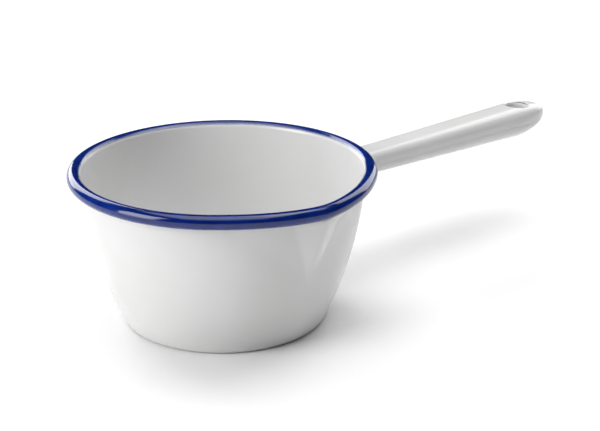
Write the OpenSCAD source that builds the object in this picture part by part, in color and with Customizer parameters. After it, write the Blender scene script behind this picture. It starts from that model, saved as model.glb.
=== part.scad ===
// Enamelled steel milk pan: a drawn bowl with a rolled rim and a pouring lip, and a hollow
// welded handle made of two pressed shells. The origin is the centre of the base on the table.
// +X runs along the handle, the lip points along -Y, and +Z is up. All sizes are in mm.

/* [Bowl] */
// Outside diameter over the rolled rim
rim_d = 154; // [140:1:180]
// Overall height
rim_h = 80; // [74:1:95]
// Radius of the long arc that the wall follows, in section
wall_r = 210; // [190:5:260]
// Lean of the wall from upright where it meets the rim
rim_lean = 4; // [2:0.5:6]
// Outside radius of the bend between base and wall
corner_r = 3; // [2.5:0.5:8]
// Thickness of the bowl's steel sheet
sheet_t = 0.7; // [0.5:0.1:1]
// Thickness of each coat of enamel
coat_t = 0.3; // [0.2:0.05:0.4]

/* [Rolled rim] */
// Outside diameter of the roll, enamel included
curl_d = 7; // [6:0.5:8]
// How far round the sheet is rolled
curl_sweep = 304; // [280:1:304]
// How far over the roll the white coat of the inside runs before the blue begins
white_over_rim = 26; // [10:1:60]

/* [Pouring lip] */
// How far the lip pushes the rim outwards
lip_out = 3.6; // [2:0.1:6]
// How far the lip lowers the rim
lip_drop = 0.5; // [0:0.1:1]
// Half of the angle that the lip takes up on the rim
lip_half = 38; // [25:1:45]
// Height at which the lip begins to swell out of the wall
lip_foot = 38; // [30:1:55]

/* [Handle] */
// Distance from the bowl's axis to the tip of the handle
handle_reach = 238; // [210:1:270]
// Height of the handle's seam above the table
handle_z = 60.5; // [56:0.5:62]
// Width of the handle at the rim
root_w = 18.6; // [16:0.2:22]
// Width of the handle where its tip begins to round off
grip_w = 23.8; // [20:0.2:28]
// Depth of the handle at the rim
root_t = 12.6; // [11:0.2:14]
// Depth of the handle where its tip begins to round off
grip_t = 18; // [14:0.2:20]
// Length over which the tip rounds off
tip_l = 25; // [20:1:35]
// Length over which the underside rises to the tip
heel_l = 28; // [20:1:40]
// How far the upper shell overhangs the lower one at the tip
tip_step = 1.2; // [0.6:0.2:2]
// Thickness of the handle's steel shells
shell_t = 1; // [0.8:0.1:1.2]
// Height of the weld between the two shells
seam_h = 0.8; // [0.4:0.1:1.2]
// Leg of the weld bead that joins the handle to the bowl
bead_leg = 4; // [3:0.5:6]

/* [Holes] */
// Diameter of the hanging hole, inside its enamel
hang_d = 12; // [8:0.5:13]
// Distance from the hanging hole's axis to the tip
hang_in = 20.5; // [18:0.5:24]
// Diameter of the vent that lets the hollow handle breathe in the furnace
vent_d = 4; // [2.5:0.5:5]
// Distance from the bowl's axis to the vent
vent_x = 92; // [86:1:110]

/* [Hidden] */

$fn = 128;

// How finely the bowl is drawn, along its section and round its axis
wall_steps = 5;
corner_steps = 3;
white_steps = 2;
roll_steps = [2, 4, 5];
lip_steps = 16;
side_steps = 7;
back_steps = 24;

// Shape of the lip's crest: how round its point is, and how hollow its sides are
lip_azimuth = -90;
crest_round = 0.1;
crest_power = 1.5;

// Shape of the handle's section, and how finely the handle is drawn
section_power = 2.4;
section_step = 15;
grip_steps = 4;
tip_steps = 7;
bead_steps = 3;
tip_depth_power = 0.6;
heel_share = 0.75;
heel_power = 1.3;

// The weld bead's thickness at its toe, and the eyelet's wall
toe_t = 0.3;
eyelet_t = 0.8;

// The bowl's section: centres of the roll, of the wall's long arc and of the bend at the base
curl_r = curl_d / 2;
steel_in = coat_t + sheet_t;
wall_t = sheet_t + 2 * coat_t;
curl_c = [rim_d / 2 - curl_r, rim_h - curl_r];
wall_c = curl_c - (wall_r - wall_t + curl_r) * [cos(rim_lean), -sin(rim_lean)];
corner_c = [
    wall_c[0] + sqrt(pow(wall_r - corner_r, 2) - pow(wall_c[1] - corner_r, 2)),
    corner_r
];
corner_end = atan2(corner_c[1] - wall_c[1], corner_c[0] - wall_c[0]);
roll_start = 180 - rim_lean;
blue_start = roll_start - white_over_rim;

// Places along the handle
bowl_x = wall_c[0] + sqrt(pow(wall_r, 2) - pow(wall_c[1] - handle_z, 2));
root_x = bowl_x - 4;
tip_x = handle_reach - tip_l;
hang_x = handle_reach - hang_in;
bead_end = bowl_x + bead_leg * (1 - sqrt(2 * toe_t / bead_leg));
shell_in = coat_t + shell_t;

// ---- The bowl's section: paths at a depth d below its outer surface ----

function reverse(list) = [for (i = [len(list) - 1:-1:0]) list[i]];
function tail(list) = [for (i = [1:len(list) - 1]) list[i]];
function mix(a, b, t) = a + (b - a) * t;

function arc(centre, r, from, to, steps) = [
    for (i = [0:steps])
        let (a = mix(from, to, i / steps)) centre + r * [cos(a), sin(a)]
];

function wall_path(d, z0, z1) = [
    for (i = [0:wall_steps])
        let (z = mix(z0, z1, i / wall_steps))
        [wall_c[0] + sqrt(pow(wall_r - d, 2) - pow(wall_c[1] - z, 2)), z]
];

// From the axis over the base, round the bend and up to the foot of the lip
function lower_path(d) =
    let (bend = arc(corner_c, corner_r - d, -90, corner_end, corner_steps))
    concat([[0, d]], bend, tail(wall_path(d, bend[corner_steps][1], lip_foot)));

// From the foot of the lip to where the wall turns into the roll
function upper_path(d) = wall_path(d, lip_foot, wall_c[1] - (wall_r - d) * sin(rim_lean));

// Round the roll, over the turns that the white and the blue coat cover. The blue has a point
// on the very top of the roll and one on its widest line.
function white_roll(r) = arc(curl_c, r, roll_start, blue_start, white_steps);
function blue_roll(r) = concat(
    arc(curl_c, r, blue_start, 90, roll_steps[0]),
    tail(arc(curl_c, r, 90, 0, roll_steps[1])),
    tail(arc(curl_c, r, 0, roll_start - curl_sweep, roll_steps[2]))
);
function whole_roll(r) = concat(white_roll(r), tail(blue_roll(r)));

function whole_path(d) = concat(lower_path(d), tail(upper_path(d)));

// ---- The pouring lip ----

// 0 at the lip's foot, 1 from the underside of the roll upwards
function lip_growth(z) = max(0, min(1, (z - lip_foot) / (rim_h - curl_d - lip_foot)));

// Cross-section of the lip: 1 on its rounded crest, 0 at its edge
function lip_crest(off) = pow(1 - (norm([off, crest_round]) - crest_round)
    / (norm([1, crest_round]) - crest_round), crest_power);

// Share of the lip's full size at an angle a from its crest. It narrows down to its foot.
function lip_share(a, z) = let (grown = lip_growth(z), off = abs(a) / lip_half)
    off >= grown ? 0 : grown * lip_crest(off / grown);

// Place on the bowl of a point of the section, at an angle a from the lip's crest
function on_bowl(p, a) = let (share = lip_share(a, p[1]), r = p[0] + lip_out * share)
    [r * cos(lip_azimuth + a), r * sin(lip_azimuth + a), p[1] - lip_drop * share];

// Angles at which the bowl's section is placed: closer together across the lip, and with one
// in line with the handle, one opposite it and one opposite the lip
function spread(from, to, count) = [for (i = [0:count - 1]) mix(from, to, i / count)];
function bowl_angles() = concat(
    spread(-lip_half, lip_half, lip_steps),
    spread(lip_half, 90, side_steps),
    spread(90, 270, back_steps),
    spread(270, 360 - lip_half, side_steps)
);
function from_crest(a) = a > 180 ? a - 360 : a;

// ---- Solids from rings of points ----

// The triangle as a list of one, or of none where two of its corners are the same point
function real_triangle(points, f) =
    min([for (i = [0:2]) norm(points[f[i]] - points[f[(i + 1) % 3]])]) < 1e-3 ? [] : [f];

// Joins rings that have the same number of points. A patch is always split along the same
// diagonal, so two solids that share a surface share its triangles too. Open ends are capped:
// a ring that runs out along one line and back along another takes a strip across the two.
// Where the rings are lines that all start and end on an axis, there is no wall along it.
module loft(rings, closed = false, strip = false, on_axis = false) {
    count = len(rings);
    size = len(rings[0]);
    points = [for (ring = rings) each ring];
    sides = [
        for (i = [0:count - (closed ? 1 : 2)], j = [0:size - (on_axis ? 2 : 1)])
            let (
                next = (i + 1) % count,
                k = (j + 1) % size,
                a = i * size + j,
                b = i * size + k,
                c = next * size + k,
                d = next * size + j,
                climb = points[b][2] - points[a][2],
                up = abs(climb) > 1e-9 ? climb > 0 : norm(points[b]) > norm(points[a])
            )
            each up
                ? concat(real_triangle(points, [a, b, c]), real_triangle(points, [a, c, d]))
                : concat(real_triangle(points, [a, b, d]), real_triangle(points, [b, c, d]))
    ];
    across = [
        for (j = [0:size / 2 - 2])
            let (k = size - 1 - j)
            each concat(real_triangle(points, [j, k, k - 1]), real_triangle(points, [j, k - 1, j + 1]))
    ];
    start = strip ? across : [[for (j = [size - 1:-1:0]) j]];
    end = [for (f = start) [for (j = reverse(f)) (count - 1) * size + j]];
    polyhedron(points, closed ? sides : concat(sides, start, end), convexity = 6);
}

// A closed section of the bowl taken right round it
module round_bowl(section) {
    loft([for (a = bowl_angles()) [for (p = section) on_bowl(p, from_crest(a))]], closed = true);
}

// ---- The handle ----

// Width and depth of the section at x, before the tip rounds off
function handle_w(x) = mix(root_w, grip_w, (x - rim_d / 2) / (tip_x - rim_d / 2));
function handle_t(x) = mix(root_t, grip_t, (x - rim_d / 2) / (tip_x - rim_d / 2));

// How far the weld bead stands out from the handle at x
function bead_out(x) = bead_leg / 2 * pow(max(0, min(1.4, 1 - (x - bowl_x) / bead_leg)), 2);

// Share of its depth that the lower half keeps at x, as the heel rises to the tip
function heel(x) = 1 - heel_share
    * pow(max(0, min(1, 1 - (handle_reach - x) / heel_l)), heel_power);

// Stations along the handle for a surface at a depth d: [x, how full the section is]. They
// start inside the bowl, and the deeper surface starts further in.
function root_stations(d) =
    [[root_x - d, 1], for (i = [0:bead_steps]) [mix(bowl_x, bead_end, i / bead_steps), 1]];
function grip_stations(d, side) =
    let (x0 = bowl_x + bead_leg, l = tip_l - d - (side < 0 ? tip_step : 0))
    [
        for (i = [0:grip_steps - 1]) [mix(x0, tip_x, i / grip_steps), 1],
        for (i = [0:tip_steps]) let (a = 90 * i / tip_steps) [tip_x + l * sin(a), cos(a)]
    ];

function bulge(v) = sign(v) * pow(abs(v), 2 / section_power);

// Point of the section at a station, in the upper half (side 1) or the lower one (side -1)
function handle_point(station, angle, side, d) =
    let (
        x = station[0],
        full = station[1],
        half_w = (handle_w(x) / 2 - d) * full,
        depth = (handle_t(x) - seam_h) / 2 * (side < 0 ? heel(x) : 1) - d,
        half_t = depth * pow(full, tip_depth_power)
    )
    [x, half_w * bulge(cos(angle)), handle_z + side * (seam_h / 2 + half_t * bulge(sin(angle)))];

// Lines along the handle: over the weld bead, under it, and from the bead to the tip
function bead_line(angle, side, d) =
    [for (s = root_stations(d)) handle_point(s, angle, side, d - bead_out(s[0]))];
function root_line(angle, side, d) =
    [for (s = root_stations(d)) handle_point(s, angle, side, d)];
function grip_line(angle, side, d) =
    [for (s = grip_stations(d, side)) handle_point(s, angle, side, d)];
function whole_line(angle, side, d) = concat(root_line(angle, side, d), grip_line(angle, side, d));

// Round the section: [angle, side]
function half_round(side) = let (angles = [for (a = [0:section_step:180]) [a, side]])
    side > 0 ? angles : reverse(angles);
function full_round() = concat(half_round(1), half_round(-1));

// One pressed shell, between two depths
module half_shell(side, d0, d1) {
    loft([
        for (a = half_round(side))
            concat(whole_line(a[0], a[1], d0), reverse(whole_line(a[0], a[1], d1)))
    ], strip = true);
}

// All that lies within the surface of the handle and its weld bead at a depth d
module handle_core(d) {
    middle = [root_x - d, 0, handle_z];
    loft([
        for (a = full_round()) concat([middle], bead_line(a[0], a[1], d), grip_line(a[0], a[1], d))
    ], closed = true, on_axis = true);
}

// The flat layer between the two halves
module seam_layer(d) {
    edge = [for (p = whole_line(0, -1, d)) [p[0], p[1]]];
    translate([0, 0, handle_z - seam_h / 2])
        linear_extrude(seam_h) polygon(concat(edge, reverse([for (p = edge) [p[0], -p[1]]])));
}

// Everything within the bowl's surface at a depth d
module bowl_core(d) {
    rotate_extrude() polygon(concat(whole_path(d), [[0, curl_c[1]]]));
}

// What passes through the bowl's outer enamel: the handle's root and the bead round it
module root_plug() {
    loft([
        for (x = [root_x, bowl_x, bead_end])
            reverse([for (a = full_round()) handle_point([x, 1], a[0], a[1], coat_t - bead_out(x))])
    ]);
}

module upright(x, d, h = rim_h) {
    translate([x, 0, 0]) cylinder(d = d, h = h);
}

// ---- Sub-parts ----

module bowl_pressing() {
    color("dimgray") round_bowl(concat(
        whole_path(coat_t),
        whole_roll(curl_r - steel_in),
        reverse(whole_roll(curl_r - coat_t)),
        reverse(whole_path(steel_in))
    ));
}

module outer_white_enamel() {
    color("white") difference() {
        round_bowl(concat(whole_path(0), reverse(whole_path(coat_t))));
        root_plug();
    }
}

module inner_white_enamel() {
    color("white") round_bowl(concat(
        whole_path(steel_in),
        white_roll(curl_r - coat_t),
        reverse(white_roll(curl_r)),
        reverse(whole_path(wall_t))
    ));
}

module blue_rim_enamel() {
    color("midnightblue")
        round_bowl(concat(blue_roll(curl_r - coat_t), reverse(blue_roll(curl_r))));
}

module handle_upper_shell() {
    color("dimgray") difference() {
        half_shell(1, coat_t, shell_in);
        bowl_core(coat_t);
        upright(hang_x, hang_d + 2 * (coat_t + eyelet_t));
    }
}

module handle_lower_shell() {
    color("dimgray") difference() {
        half_shell(-1, coat_t, shell_in);
        bowl_core(coat_t);
        upright(hang_x, hang_d + 2 * (coat_t + eyelet_t));
        upright(vent_x, vent_d, handle_z);
    }
}

module handle_seam_weld() {
    color("gray") difference() {
        seam_layer(coat_t);
        seam_layer(shell_in);
        bowl_core(coat_t);
    }
}

module handle_root_weld() {
    color("gray") difference() {
        loft([
            for (a = full_round())
                concat(bead_line(a[0], a[1], coat_t), reverse(root_line(a[0], a[1], coat_t)))
        ], closed = true);
        bowl_core(coat_t);
    }
}

module hanging_hole_eyelet() {
    color("dimgray") difference() {
        intersection() {
            upright(hang_x, hang_d + 2 * (coat_t + eyelet_t));
            handle_core(coat_t);
        }
        upright(hang_x, hang_d + 2 * coat_t);
    }
}

module handle_white_enamel() {
    color("white") difference() {
        handle_core(0);
        difference() {
            handle_core(coat_t);
            upright(hang_x, hang_d + 2 * coat_t);
        }
        bowl_core(0);
        upright(hang_x, hang_d);
        upright(vent_x, vent_d, handle_z);
    }
}

bowl_pressing();
outer_white_enamel();
inner_white_enamel();
blue_rim_enamel();
handle_upper_shell();
handle_lower_shell();
handle_seam_weld();
handle_root_weld();
hanging_hole_eyelet();
handle_white_enamel();
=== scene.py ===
"""Looks for an enamelled steel milk pan: a smooth white bowl with a rolled cobalt blue rim
and a pouring lip, and a hollow white handle with a hanging hole. Lengths are in millimetres
until a mesh is made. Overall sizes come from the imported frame's boxes, and the rest are design
sizes named below."""

import math

import bmesh
import bpy
import numpy as np
from mathutils import Euler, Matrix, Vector


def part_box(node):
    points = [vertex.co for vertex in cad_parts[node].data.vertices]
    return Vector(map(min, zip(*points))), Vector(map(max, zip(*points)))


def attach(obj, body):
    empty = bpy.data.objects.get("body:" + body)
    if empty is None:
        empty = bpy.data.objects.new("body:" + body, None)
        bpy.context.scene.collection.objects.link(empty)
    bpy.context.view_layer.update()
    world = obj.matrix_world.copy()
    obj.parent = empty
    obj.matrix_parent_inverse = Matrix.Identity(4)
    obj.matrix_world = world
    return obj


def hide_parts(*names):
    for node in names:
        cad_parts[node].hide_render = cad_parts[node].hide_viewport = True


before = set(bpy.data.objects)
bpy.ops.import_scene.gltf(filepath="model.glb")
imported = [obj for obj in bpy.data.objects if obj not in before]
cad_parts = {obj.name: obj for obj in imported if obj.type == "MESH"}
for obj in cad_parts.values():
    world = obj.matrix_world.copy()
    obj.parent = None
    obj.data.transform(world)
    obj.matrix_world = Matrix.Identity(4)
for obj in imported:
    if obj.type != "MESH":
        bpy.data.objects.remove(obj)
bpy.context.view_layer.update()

MM = 0.001  # metres in a millimetre


def cad_box(node):
    """Lowest and highest corner of a CAD node, in millimetres."""
    low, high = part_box(node)
    return np.array(low) / MM, np.array(high) / MM


# ---- Sizes that the frame gives ----
RIM_BOX = cad_box("blue_rim_enamel")
HANDLE_BOX = cad_box("handle_white_enamel")
SEAM_BOX = cad_box("handle_seam_weld")
EYELET_BOX = cad_box("hanging_hole_eyelet")
RIM_R = RIM_BOX[1][0]
RIM_H = RIM_BOX[1][2]
SEAM_Z = (SEAM_BOX[0][2] + SEAM_BOX[1][2]) / 2
SEAM_H = SEAM_BOX[1][2] - SEAM_BOX[0][2]
REACH = HANDLE_BOX[1][0]
HOLE_X = (EYELET_BOX[0][0] + EYELET_BOX[1][0]) / 2

# ---- Design sizes. Those that part.scad has too are repeated from it, except for the handle's
# upper power, which is 2.4 there. The crease, the bead's sink and inset, the groove, UNDER_BLUE
# to ROLL_STEPS and the rounding of the holes are only here, and shape only the coats. ----
WALL_R, RIM_LEAN, CORNER_R = 210.0, 4.0, 3.0
SHEET_T, COAT_T, CURL_R = 0.7, 0.3, 3.5
STEEL_IN = COAT_T + SHEET_T
WALL_T = STEEL_IN + COAT_T
WHITE_OVER_RIM, CURL_SWEEP = 26.0, 304.0
LIP_OUT, LIP_DROP, LIP_HALF, LIP_FOOT, LIP_AZIMUTH = 3.6, 0.5, 38.0, 38.0, -90.0
LIP_ROUND, LIP_POWER = 0.1, 1.5
CREASE_OUT, CREASE_HALF, CREASE_ROUND = 4.0, 11.0, 1.0  # mm, degrees, degrees
ROOT_W, GRIP_W, ROOT_T, GRIP_T = 18.6, 23.8, 12.6, 18.0
TIP_L, TIP_STEP, TIP_POWER = 25.0, 1.2, 0.6
HEEL_L, HEEL_SHARE, HEEL_POWER = 28.0, 0.75, 1.3
UPPER_POWER, LOWER_POWER = 3.0, 2.4
BEAD_LEG = 4.0
BEAD_SINK, BEAD_INSET = 0.6, 0.12  # how far the bead's toe runs on under the bowl's coat
GROOVE_DEPTH, GROOVE_HALF = 0.16, 0.55  # the weld line between the handle's shells
UNDER_BLUE, WHITE_FADE, FADE_START = 12.0, 9.0, 2.0  # degrees of the roll
BLUE_LIFT, BLUE_FEATHER = 0.03, 0.06
ROLL_STEPS = 12
HOLE_R, HOLE_ROUND = 6.0, 2.0
VENT_X, VENT_R, VENT_ROUND = 92.0, 2.0, 0.5

CURL_C = np.array([RIM_R - CURL_R, RIM_H - CURL_R])
LEAN = math.radians(RIM_LEAN)
WALL_C = CURL_C - (WALL_R - WALL_T + CURL_R) * np.array([math.cos(LEAN), -math.sin(LEAN)])
CORNER_C = np.array([
    WALL_C[0] + math.sqrt((WALL_R - CORNER_R) ** 2 - (WALL_C[1] - CORNER_R) ** 2), CORNER_R])
CORNER_END = math.degrees(math.atan2(CORNER_C[1] - WALL_C[1], CORNER_C[0] - WALL_C[0]))
ROLL_START = 180 - RIM_LEAN
BLUE_START = ROLL_START - WHITE_OVER_RIM
BLUE_END = ROLL_START - CURL_SWEEP
TIP_X = REACH - TIP_L
ROLL_FOOT = RIM_H - 2 * CURL_R


# ---- Small helpers ----

def smooth(t):
    """0 below 0, 1 above 1 and a smooth rise between."""
    t = np.clip(t, 0, 1)
    return t * t * (3 - 2 * t)


def mix(a, b, t):
    return a + (b - a) * t


def arc(centre, radius, start, end, steps):
    """Points on an arc, angles in degrees. The radius may be one number or one for each point."""
    a = np.radians(np.linspace(start, end, steps + 1))
    return np.stack([centre[0] + radius * np.cos(a), centre[1] + radius * np.sin(a)], 1)


def wall_radius(z, depth=0.0):
    return WALL_C[0] + np.sqrt((WALL_R - depth) ** 2 - (WALL_C[1] - z) ** 2)


def face_outwards(mesh):
    """Turns every face the same way round."""
    work = bmesh.new()
    work.from_mesh(mesh)
    bmesh.ops.recalc_face_normals(work, faces=work.faces)
    work.to_mesh(mesh)
    work.free()


def make_piece(name, points, faces, nodes, material):
    """A smooth-shaded mesh from points in millimetres that stands for CAD nodes."""
    mesh = bpy.data.meshes.new(name)
    mesh.from_pydata([tuple(p) for p in np.asarray(points) * MM], [], faces)
    mesh.validate()
    face_outwards(mesh)
    piece = bpy.data.objects.new(name, mesh)
    bpy.context.scene.collection.objects.link(piece)
    mesh.polygons.foreach_set("use_smooth", [True] * len(mesh.polygons))
    mesh.materials.append(material)
    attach(piece, "root")
    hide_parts(*nodes)
    return piece


# ---- The bowl ----

def lip_share(off_crest, z):
    """Share of the pouring lip's full size at an angle from its crest. It narrows to its foot."""
    grown = np.clip((z - LIP_FOOT) / (ROLL_FOOT - LIP_FOOT), 1e-6, 1)
    off = np.clip(np.abs(off_crest) / LIP_HALF / grown, 0, 1)
    fall = (np.hypot(off, LIP_ROUND) - LIP_ROUND) / (math.hypot(1, LIP_ROUND) - LIP_ROUND)
    return grown * (1 - fall) ** LIP_POWER


def crease(off_crest, z):
    """How far the V pressed under the lip stands out of the wall. It comes to a point at its foot."""
    grown = np.clip((z - LIP_FOOT) / (ROLL_FOOT - LIP_FOOT), 1e-6, 1)
    off = np.hypot(off_crest, CREASE_ROUND) - CREASE_ROUND
    flank = np.clip(1 - off / (CREASE_HALF * grown), 0, 1)
    return CREASE_OUT * grown * flank * smooth((CURL_C[1] - z) / CURL_R)


def on_bowl(section, off_crest, creased=False):
    """Places points (radius, height) of the section at an angle from the lip's crest."""
    share = lip_share(off_crest, section[:, 1])
    radius = section[:, 0] + LIP_OUT * share * smooth(section[:, 0] / LIP_FOOT)
    if creased:
        radius = radius + crease(off_crest, section[:, 1])
    a = math.radians(LIP_AZIMUTH + off_crest)
    return np.stack([radius * math.cos(a), radius * math.sin(a), section[:, 1] - LIP_DROP * share], 1)


def bowl_angles():
    """Angles from the lip's crest, once round, closer together across the lip."""
    across = np.linspace(-LIP_HALF, LIP_HALF, 97)[:-1]
    rest = np.linspace(LIP_HALF, 360 - LIP_HALF, 205)[:-1]
    return [float(a) for a in np.concatenate([across, rest])]


def wall_path(depth):
    """From the axis over the base, round the bend and up the wall to the roll."""
    base = np.stack([np.linspace(0, CORNER_C[0], 9)[:-1], np.full(8, depth)], 1)
    bend = arc(CORNER_C, CORNER_R - depth, -90, CORNER_END, 8)
    heights = np.linspace(bend[-1][1], WALL_C[1] - (WALL_R - depth) * math.sin(LEAN), 49)[1:]
    return np.concatenate([base, bend, np.stack([wall_radius(heights, depth), heights], 1)])


def revolve(name, section_at, nodes, material):
    """Takes a closed section right round the bowl. section_at(angle) gives its points."""
    rings = [section_at(a if a <= 180 else a - 360) for a in bowl_angles()]
    count, size = len(rings), len(rings[0])
    points = np.concatenate(rings)
    faces = []
    for i in range(count):
        k = (i + 1) % count
        for j in range(size):
            n = (j + 1) % size
            faces.append([i * size + j, k * size + j, k * size + n, i * size + n])
    return weld(name, points, faces, nodes, material)


def weld(name, points, faces, nodes, material):
    """Joins points that coincide, drops faces with no area and makes the piece."""
    keys, kept, new_index = {}, [], []
    for p in np.round(points, 5):
        key = tuple(p)
        if key not in keys:
            keys[key] = len(kept)
            kept.append(p)
        new_index.append(keys[key])
    clean = []
    for face in faces:
        corners = []
        for c in (new_index[c] for c in face):
            if c not in corners:
                corners.append(c)
        if len(corners) > 2:
            clean.append(corners)
    return make_piece(name, kept, clean, nodes, material)


def blue_edge(a):
    """Angle on the roll where the blue starts: brushed on by hand, so it wanders a little."""
    t = math.radians(a)
    return BLUE_START + 1.1 * math.sin(3 * t + 0.6) + 0.8 * math.sin(7 * t + 2.1) \
        + 0.5 * math.sin(17 * t + 4.0) + 0.3 * math.sin(31 * t + 1.3)


def white_roll():
    """The white coat over the roll. It thins out under the blue."""
    angles = np.linspace(ROLL_START, BLUE_START - UNDER_BLUE, ROLL_STEPS + 1)
    radius = CURL_R - COAT_T * smooth((BLUE_START - FADE_START - angles) / WHITE_FADE)
    return arc(CURL_C, radius, ROLL_START, BLUE_START - UNDER_BLUE, ROLL_STEPS)


def inner_section(a):
    roll = white_roll()
    under = arc(CURL_C, CURL_R - COAT_T, BLUE_START - UNDER_BLUE, ROLL_START, ROLL_STEPS)
    return on_bowl(np.concatenate(
        [wall_path(STEEL_IN)[:-1], under[::-1], roll[::-1], wall_path(WALL_T)[::-1][1:]]), a)


def outer_section(a):
    return np.concatenate([on_bowl(wall_path(0.0), a, True), on_bowl(wall_path(COAT_T)[::-1], a)])


def blue_section(a):
    start = blue_edge(a)
    steps = 56
    angles = np.linspace(start, BLUE_END, steps + 1)
    into = (start - angles) / 3.0
    over_white = 1 - smooth((angles - (BLUE_START - UNDER_BLUE)) / -6)
    radius = CURL_R + BLUE_LIFT * over_white - BLUE_FEATHER * (1 - smooth(into))
    blunt = 1 - 0.5 * (1 - smooth((angles - BLUE_END) / 3.0))
    radius = CURL_R - COAT_T + (radius - CURL_R + COAT_T) * blunt
    outside = arc(CURL_C, radius, start, BLUE_END, steps)
    inside = arc(CURL_C, CURL_R - COAT_T, BLUE_END, start, 24)
    return on_bowl(np.concatenate([outside, inside]), a)


# ---- The handle ----

def handle_w(x):
    return mix(ROOT_W, GRIP_W, (x - RIM_R) / (TIP_X - RIM_R))


def handle_t(x):
    return mix(ROOT_T, GRIP_T, (x - RIM_R) / (TIP_X - RIM_R))


def fullness(x, side):
    """1 along the grip, falling to 0 where the tip closes."""
    length = TIP_L - (TIP_STEP if side < 0 else 0)
    return math.sqrt(max(0.0, 1 - max(0.0, (x - TIP_X) / length) ** 2))


def half_depth(x, side):
    keep = 1.0
    if side < 0:
        keep = 1 - HEEL_SHARE * max(0.0, 1 - (REACH - x) / HEEL_L) ** HEEL_POWER
    return (handle_t(x) - SEAM_H) / 2 * keep * fullness(x, side) ** TIP_POWER


def section_power(side):
    """How square the handle's section is: the crown is flatter than the underside."""
    return UPPER_POWER if side > 0 else LOWER_POWER


def handle_surface(x, y, side):
    """Height of the handle's skin over a point of the plan, on its upper or lower half."""
    half_w = max(handle_w(x) / 2 * fullness(x, side), 1e-6)
    v = min(1.0, abs(y) / half_w)
    power = section_power(side)
    return SEAM_Z + side * (SEAM_H / 2 + half_depth(x, side) * (1 - v ** power) ** (1 / power))


def section_angles():
    """Angles round one half of the section, closer together near the seam."""
    near = [0.0, 0.4, 1.0, 1.8, 3.0, 4.6, 7.0, 10.0]
    middle = list(np.linspace(10, 170, 41)[1:-1])
    return near + middle + [180 - a for a in near[::-1]]


def seam_groove(height):
    """How deep the weld line between the two shells lies below the skin at a height off it."""
    return GROOVE_DEPTH * math.exp(-(height / GROOVE_HALF) ** 2)


def handle_point(x, angle, side):
    """Point of the handle's skin in the section at x, at an angle round its upper or lower half."""
    c, s = math.cos(math.radians(angle)), math.sin(math.radians(angle))
    full = fullness(x, side)
    half_w = handle_w(x) / 2 * full
    power = section_power(side)
    rise = half_depth(x, side) * abs(s) ** (2 / power)
    y = math.copysign(half_w * abs(c) ** (2 / power), c)
    y -= math.copysign(min(abs(y), seam_groove(rise + SEAM_H / 2) * full), y)
    return [x, y, SEAM_Z + side * (SEAM_H / 2 + rise)]


def around():
    """Once round the handle's section: (angle, side), the upper half and then the lower one."""
    angles = section_angles()
    return [(a, 1) for a in angles] + [(a, -1) for a in angles[::-1]]


def tip_stations(side):
    """Places along the tip, closer together towards its end."""
    length = TIP_L - (TIP_STEP if side < 0 else 0)
    turns = np.radians(np.linspace(0, 90, 41)[1:])
    return [TIP_X + length * math.sin(t) for t in turns]


def root_fillet(angle, side):
    """The enamelled weld bead: a curve from the bowl's wall to the handle, tangent to both."""
    def outline(a):
        return np.array(handle_point(RIM_R, a, side)[1:])
    y, z = outline(angle)
    step = 0.5
    along = outline(min(180, angle + step)) - outline(max(0, angle - step))
    along *= side
    out = np.array([along[1], -along[0]]) / max(np.hypot(*along), 1e-9)
    x = math.sqrt(wall_radius(z) ** 2 - y ** 2)
    foot_y, foot_z = np.array([y, z]) + BEAD_LEG * out
    foot_x = math.sqrt(wall_radius(foot_z) ** 2 - foot_y ** 2)
    corner = np.array([x, y, z])
    foot = np.array([foot_x, foot_y, foot_z])
    end = np.array(handle_point(x + BEAD_LEG, angle, side))
    shares = np.linspace(0, 1, 13)
    curve = [(1 - t) ** 2 * foot + 2 * t * (1 - t) * corner + t * t * end for t in shares]
    back = (foot - curve[1]) / np.linalg.norm(foot - curve[1])
    sunk = foot + BEAD_SINK * back - np.array([BEAD_INSET, 0, 0])
    return [sunk] + curve


def handle_grid():
    """Rings of the handle's skin from the bowl's wall to the tip, one point for each of around()."""
    lines = []
    for angle, side in around():
        line = root_fillet(angle, side)
        start = line[-1][0]
        line += [handle_point(x, angle, side) for x in np.linspace(start, TIP_X, 97)[1:]]
        line += [handle_point(x, angle, side) for x in tip_stations(side)]
        lines.append(line)
    return np.array(lines).transpose(1, 0, 2)


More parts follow.
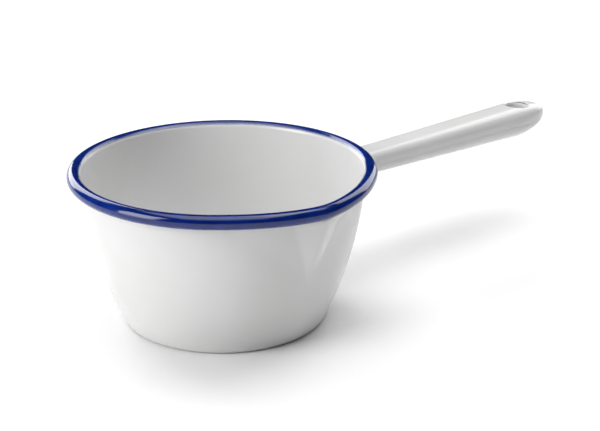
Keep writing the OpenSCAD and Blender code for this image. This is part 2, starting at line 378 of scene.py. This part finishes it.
class Skin:
    """The handle's outer skin, as points and faces. A hole is cut by swapping a block of the
    grid for rings that run over a rounded edge and down into the hole."""

    def __init__(self, grid):
        self.grid = grid
        self.count, self.size = grid.shape[:2]
        self.points = [tuple(p) for p in grid.reshape(-1, 3)]
        self.cells = {(i, j) for i in range(self.count - 1) for j in range(self.size)}
        self.extra = []

    def index(self, i, j):
        return i * self.size + j % self.size

    def loop_round(self, x, reach):
        """The grid places that run round a hole at x on the upper half."""
        middle = self.size // 4
        rows = [i for i in range(self.count) if abs(self.grid[i, middle, 0] - x) < reach]
        lines = [j for j in range(self.size // 2) if abs(self.grid[rows[0], j, 1]) < reach]
        i0, i1, j0, j1 = rows[0], rows[-1], lines[0], lines[-1]
        return [(i0, j) for j in range(j0, j1)] + [(i, j1) for i in range(i0, i1)] \
            + [(i1, j) for j in range(j1, j0, -1)] + [(i, j0) for i in range(i1, i0, -1)]

    def hole(self, x, radius, round_r, reach, side):
        """Opens a round hole with a rounded edge and returns the ring at its throat."""
        loop = self.loop_round(x, reach)
        if side < 0:
            loop = [(i, self.size - 1 - j) for i, j in loop]
        i0, j0 = min(i for i, j in loop), min(j for i, j in loop)
        i1, j1 = max(i for i, j in loop), max(j for i, j in loop)
        self.cells -= {(i, j) for i in range(i0, i1) for j in range(j0, j1)}
        previous = [self.index(i, j) for i, j in loop]
        edge = [np.array(self.points[k][:2]) - (x, 0) for k in previous]
        turns = [math.atan2(p[1], p[0]) for p in edge]
        circle = [(radius + round_r) * np.array([math.cos(t), math.sin(t)]) for t in turns]
        for share in (0.75, 0.5, 0.25, 0.0):
            ring = [mix(c, e, share) for c, e in zip(circle, edge)]
            previous = self.ring(previous, [(x + p[0], p[1], 0.0) for p in ring], side)
        for turn in np.radians(np.linspace(0, 90, 10)[1:]):
            r = radius + round_r * (1 - math.sin(turn))
            down = round_r * (1 - math.cos(turn))
            places = [(x + r * math.cos(t), r * math.sin(t), down) for t in turns]
            previous = self.ring(previous, places, side)
        return previous

    def ring(self, previous, places, side):
        """Adds a ring of points on the skin, or some way below it, joined to the ring before."""
        points = [(x, y, handle_surface(x, y, side) - side * down) for x, y, down in places]
        return self.add_ring(previous, points)

    def add_ring(self, previous, points):
        start = len(self.points)
        self.points += [tuple(p) for p in points]
        ring = list(range(start, start + len(points)))
        self.join(previous, ring)
        return ring

    def join(self, first, second):
        for k in range(len(first)):
            n = (k + 1) % len(first)
            self.extra.append([first[k], first[n], second[n], second[k]])

    def tube(self, top, bottom):
        """The wall of a hole that goes right through, between its two throats."""
        previous = top
        upper = np.array([self.points[k] for k in top])
        lower = np.array([self.points[k] for k in bottom])
        for share in (0.1, 0.35, 0.65, 0.9):
            previous = self.add_ring(previous, mix(upper, lower, share))
        self.join(previous, bottom)

    def faces(self):
        corners = ((0, 0), (0, 1), (1, 1), (1, 0))
        return [[self.index(i + a, j + b) for a, b in corners] for i, j in sorted(self.cells)] \
            + self.extra


def thicken(piece, thickness):
    """Gives a skin its thickness, inwards, as plain mesh."""
    solid = piece.modifiers.new("thickness", "SOLIDIFY")
    solid.thickness = thickness * MM
    solid.offset = -1
    bpy.context.view_layer.update()
    graph = bpy.context.evaluated_depsgraph_get()
    mesh = bpy.data.meshes.new_from_object(piece.evaluated_get(graph))
    piece.modifiers.clear()
    piece.data = mesh


def make_handle(material):
    skin = Skin(handle_grid())
    reach = HOLE_R + HOLE_ROUND + 1.2
    top = skin.hole(HOLE_X, HOLE_R, HOLE_ROUND, reach, 1)
    bottom = skin.hole(HOLE_X, HOLE_R, HOLE_ROUND * 0.6, reach, -1)
    skin.tube(top, bottom)
    skin.hole(VENT_X, VENT_R, VENT_ROUND, VENT_R + VENT_ROUND + 1.5, -1)
    piece = weld("handle_coat", skin.points, skin.faces(),
                 ["handle_white_enamel"], material)
    thicken(piece, COAT_T)
    return piece


# ---- Materials ----

# Places of the colour sockets on a Mix node
MIX_FACTOR, MIX_A, MIX_B, MIX_RESULT = 0, 6, 7, 2


class Nodes:
    """A short way to write a node tree: add nodes and link them by name."""

    def __init__(self, name):
        self.material = bpy.data.materials.new(name)
        self.material.use_nodes = True
        self.tree = self.material.node_tree
        self.tree.nodes.clear()
        self.shader = self.add("ShaderNodeBsdfPrincipled")
        output = self.add("ShaderNodeOutputMaterial")
        self.link(self.shader.outputs["BSDF"], output.inputs["Surface"])
        self.place = self.add("ShaderNodeTexCoord").outputs["Object"]

    def add(self, kind, **values):
        node = self.tree.nodes.new(kind)
        for key, value in values.items():
            setattr(node, key, value)
        return node

    def link(self, source, target):
        self.tree.links.new(source, target)

    def noise(self, scale, detail=2.0, roughness=0.5, place=None):
        """Noise between 0 and 1. Scale is features in a metre."""
        node = self.add("ShaderNodeTexNoise")
        node.inputs["Scale"].default_value = scale
        node.inputs["Detail"].default_value = detail
        node.inputs["Roughness"].default_value = roughness
        self.link(place or self.place, node.inputs["Vector"])
        return node.outputs["Fac"]

    def ramp(self, value, low, high, start=0.0, end=1.0):
        """Maps low..high to start..end, smoothly and without going past them."""
        node = self.add("ShaderNodeMapRange", interpolation_type="SMOOTHSTEP")
        self.link(value, node.inputs["Value"])
        for key, number in (("From Min", low), ("From Max", high), ("To Min", start), ("To Max", end)):
            node.inputs[key].default_value = number
        return node.outputs["Result"]

    def math(self, operation, a, b=0.0):
        node = self.add("ShaderNodeMath", operation=operation)
        for socket, value in zip(node.inputs, (a, b)):
            if isinstance(value, (int, float)):
                socket.default_value = value
            else:
                self.link(value, socket)
        return node.outputs["Value"]

    def blend(self, share, a, b):
        """Mixes two colours, each a colour or a socket."""
        node = self.add("ShaderNodeMix", data_type="RGBA")
        self.link(share, node.inputs[MIX_FACTOR])
        for socket, value in ((node.inputs[MIX_A], a), (node.inputs[MIX_B], b)):
            if isinstance(value, tuple):
                socket.default_value = (*value, 1.0)
            else:
                self.link(value, socket)
        return node.outputs[MIX_RESULT]

    def bump(self, height, distance, below=None):
        node = self.add("ShaderNodeBump")
        node.inputs["Distance"].default_value = distance * MM
        self.link(height, node.inputs["Height"])
        if below is not None:
            self.link(below, node.inputs["Normal"])
        return node.outputs["Normal"]

    def attribute(self, name):
        node = self.add("ShaderNodeAttribute", attribute_name=name)
        return node.outputs["Fac"]

    def set(self, name, value):
        if isinstance(value, (int, float)):
            self.shader.inputs[name].default_value = value
        elif isinstance(value, tuple):
            self.shader.inputs[name].default_value = (*value, 1.0)
        else:
            self.link(value, self.shader.inputs[name])


def white_enamel():
    n = Nodes("white_enamel")
    height = n.add("ShaderNodeSeparateXYZ")
    n.link(n.place, height.inputs[0])
    tone = n.ramp(n.noise(16, 3), 0.35, 0.65)
    colour = n.blend(tone, (0.69, 0.69, 0.685), (0.72, 0.72, 0.72))
    # iron specks: a few dark pinholes, as fired enamel has
    cells = n.add("ShaderNodeTexVoronoi")
    cells.inputs["Scale"].default_value = 82
    n.link(n.place, cells.inputs["Vector"])
    few = n.ramp(n.noise(31), 0.60, 0.66)
    speck = n.math("MULTIPLY", n.ramp(cells.outputs["Distance"], 0.012, 0.026, 1, 0), few)
    colour = n.blend(speck, colour, (0.16, 0.14, 0.12))
    # grey rub marks where the base meets the table and the hob
    low = n.ramp(height.outputs["Z"], 0.0001, 0.0016, 1, 0)
    rub = n.math("MULTIPLY", low, n.ramp(n.noise(420, 4, 0.7), 0.42, 0.62))
    colour = n.blend(n.math("MULTIPLY", rub, 0.55), colour, (0.36, 0.36, 0.35))
    n.set("Base Color", colour)
    gloss = n.ramp(n.noise(45, 3), 0.3, 0.7, 0.18, 0.25)
    n.set("Roughness", n.math("ADD", gloss, n.math("MULTIPLY", rub, 0.3)))
    n.set("IOR", 1.5)
    waves = n.bump(n.noise(42, 1), 0.10)
    peel = n.bump(n.noise(560, 1), 0.010, waves)
    n.set("Normal", n.bump(n.math("SUBTRACT", 1.0, speck), 0.08, peel))
    return n.material


def blue_enamel():
    n = Nodes("blue_enamel")
    tone = n.ramp(n.noise(120, 4, 0.6), 0.35, 0.68)
    colour = n.blend(tone, (0.0012, 0.012, 0.125), (0.003, 0.022, 0.19))
    ragged = n.math("MULTIPLY", n.math("SUBTRACT", n.noise(1400, 3, 0.6), 0.5), 0.7)
    edge = n.math("ADD", n.attribute("coat_edge"), ragged)
    colour = n.blend(n.ramp(edge, 0.1, 1.5, 1, 0), colour, (0.40, 0.43, 0.56))
    n.set("Base Color", colour)
    n.set("Roughness", n.ramp(n.noise(170, 3), 0.3, 0.7, 0.07, 0.14))
    n.set("IOR", 1.55)
    runs = n.bump(n.noise(150, 2), 0.07)
    n.set("Normal", n.bump(n.noise(900, 1), 0.006, runs))
    return n.material


def bare_steel(name, colour, rough, grain, ripple):
    """Pickled sheet or weld metal, which lies under the enamel."""
    n = Nodes(name)
    patches = n.ramp(n.noise(60, 4, 0.6), 0.3, 0.7)
    dark = tuple(0.6 * c for c in colour)
    n.set("Base Color", n.blend(patches, dark, colour))
    n.set("Metallic", 1.0)
    n.set("Roughness", n.ramp(n.noise(grain, 4), 0.3, 0.7, rough - 0.08, rough + 0.12))
    n.set("Normal", n.bump(n.noise(grain, 3), ripple))
    return n.material


def dress_cad_nodes(white, blue):
    """Gives every CAD node its material: the steel that lies under the coats, and the coats."""
    sheet = bare_steel("sheet_steel", (0.42, 0.42, 0.43), 0.42, 900, 0.01)
    weld_metal = bare_steel("weld_metal", (0.34, 0.33, 0.32), 0.5, 500, 0.05)
    for name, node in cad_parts.items():
        material = white if "white" in name else blue if "blue" in name else sheet
        if name.endswith("_weld"):
            material = weld_metal
        node.data.materials.clear()
        node.data.materials.append(material)


# ---- The pieces ----

def mark_edge(piece):
    """Stores how far each point of the blue coat is from its inner edge, in millimetres."""
    layer = piece.data.attributes.new("coat_edge", "FLOAT", "POINT")
    values = []
    for v in piece.data.vertices:
        x, y, z = np.array(v.co) / MM
        off = (math.degrees(math.atan2(y, x)) - LIP_AZIMUTH + 180) % 360 - 180
        share = float(lip_share(off, z))
        turn = math.degrees(math.atan2(
            z + LIP_DROP * share - CURL_C[1], math.hypot(x, y) - LIP_OUT * share - CURL_C[0]))
        along = blue_edge(off if off >= -LIP_HALF else off + 360) - turn
        values.append(math.radians(along) * CURL_R if along > -90 else 9.0)
    layer.data.foreach_set("value", values)


white, blue = white_enamel(), blue_enamel()
dress_cad_nodes(white, blue)
revolve("outer_coat", outer_section, ["outer_white_enamel"], white)
revolve("inner_coat", inner_section, ["inner_white_enamel"], white)
rim = revolve("rim_coat", blue_section, ["blue_rim_enamel"], blue)
mark_edge(rim)
make_handle(white)


# ---- Floor, lights and camera ----

VIEW_AZIMUTH = -40.5  # which way the camera looks, from +Y
AIM = Vector((0, 0, 0.05))


def pale_floor():
    mesh = bpy.data.meshes.new("floor")
    ring = [(4 * math.cos(t), 4 * math.sin(t), 0) for t in np.radians(range(0, 360, 5))]
    mesh.from_pydata(ring, [], [list(range(len(ring)))])
    floor = bpy.data.objects.new("floor", mesh)
    bpy.context.scene.collection.objects.link(floor)
    n = Nodes("floor_paper")
    n.set("Base Color", n.blend(n.ramp(n.noise(3, 2), 0.3, 0.7), (0.92, 0.92, 0.92), (0.94, 0.94, 0.94)))
    n.set("Roughness", 0.9)
    n.set("Specular IOR Level", 0.1)
    mesh.materials.append(n.material)


def softbox(name, azimuth, elevation, distance, width, height, power):
    """A soft light, placed by its azimuth clockwise from where the camera looks."""
    light = bpy.data.lights.new(name, "AREA")
    light.shape = "RECTANGLE"
    light.size, light.size_y = width, height
    light.energy = power
    lamp = bpy.data.objects.new(name, light)
    bpy.context.scene.collection.objects.link(lamp)
    a, e = math.radians(azimuth - VIEW_AZIMUTH), math.radians(elevation)
    way = Vector((math.sin(a) * math.cos(e), math.cos(a) * math.cos(e), math.sin(e)))
    lamp.location = AIM + distance * way
    lamp.rotation_euler = way.to_track_quat("Z", "Y").to_euler()


def studio():
    world = bpy.data.worlds.new("studio")
    world.use_nodes = True
    sky = world.node_tree.nodes["Background"]
    sky.inputs["Color"].default_value = (1, 1, 1, 1)
    sky.inputs["Strength"].default_value = 0.01
    bpy.context.scene.world = world
    bpy.context.scene.view_settings.view_transform = "Standard"
    softbox("left_box", -120, 21, 1.6, 0.85, 1.15, 19)
    softbox("back_left_box", -36, 24, 1.6, 0.9, 1.2, 15)
    softbox("back_right_box", 36, 24, 1.6, 0.9, 1.2, 9.5)
    softbox("top_panel", 0, 88, 1.6, 1.5, 1.5, 16)
    softbox("right_box", 60, 66, 1.6, 0.8, 0.75, 4)
    softbox("front_box", 180, 62, 1.6, 1.2, 0.7, 3)


def camera():
    lens = bpy.data.cameras.new("camera")
    lens.lens, lens.sensor_width = 89.56, 36.0
    lens.clip_start = 0.01
    view = bpy.data.objects.new("camera", lens)
    bpy.context.scene.collection.objects.link(view)
    view.location = (-0.4268, -0.5587, 0.3155)
    view.rotation_euler = Euler((math.radians(69.454), 0, math.radians(VIEW_AZIMUTH)))
    bpy.context.scene.camera = view


pale_floor()
studio()
camera()
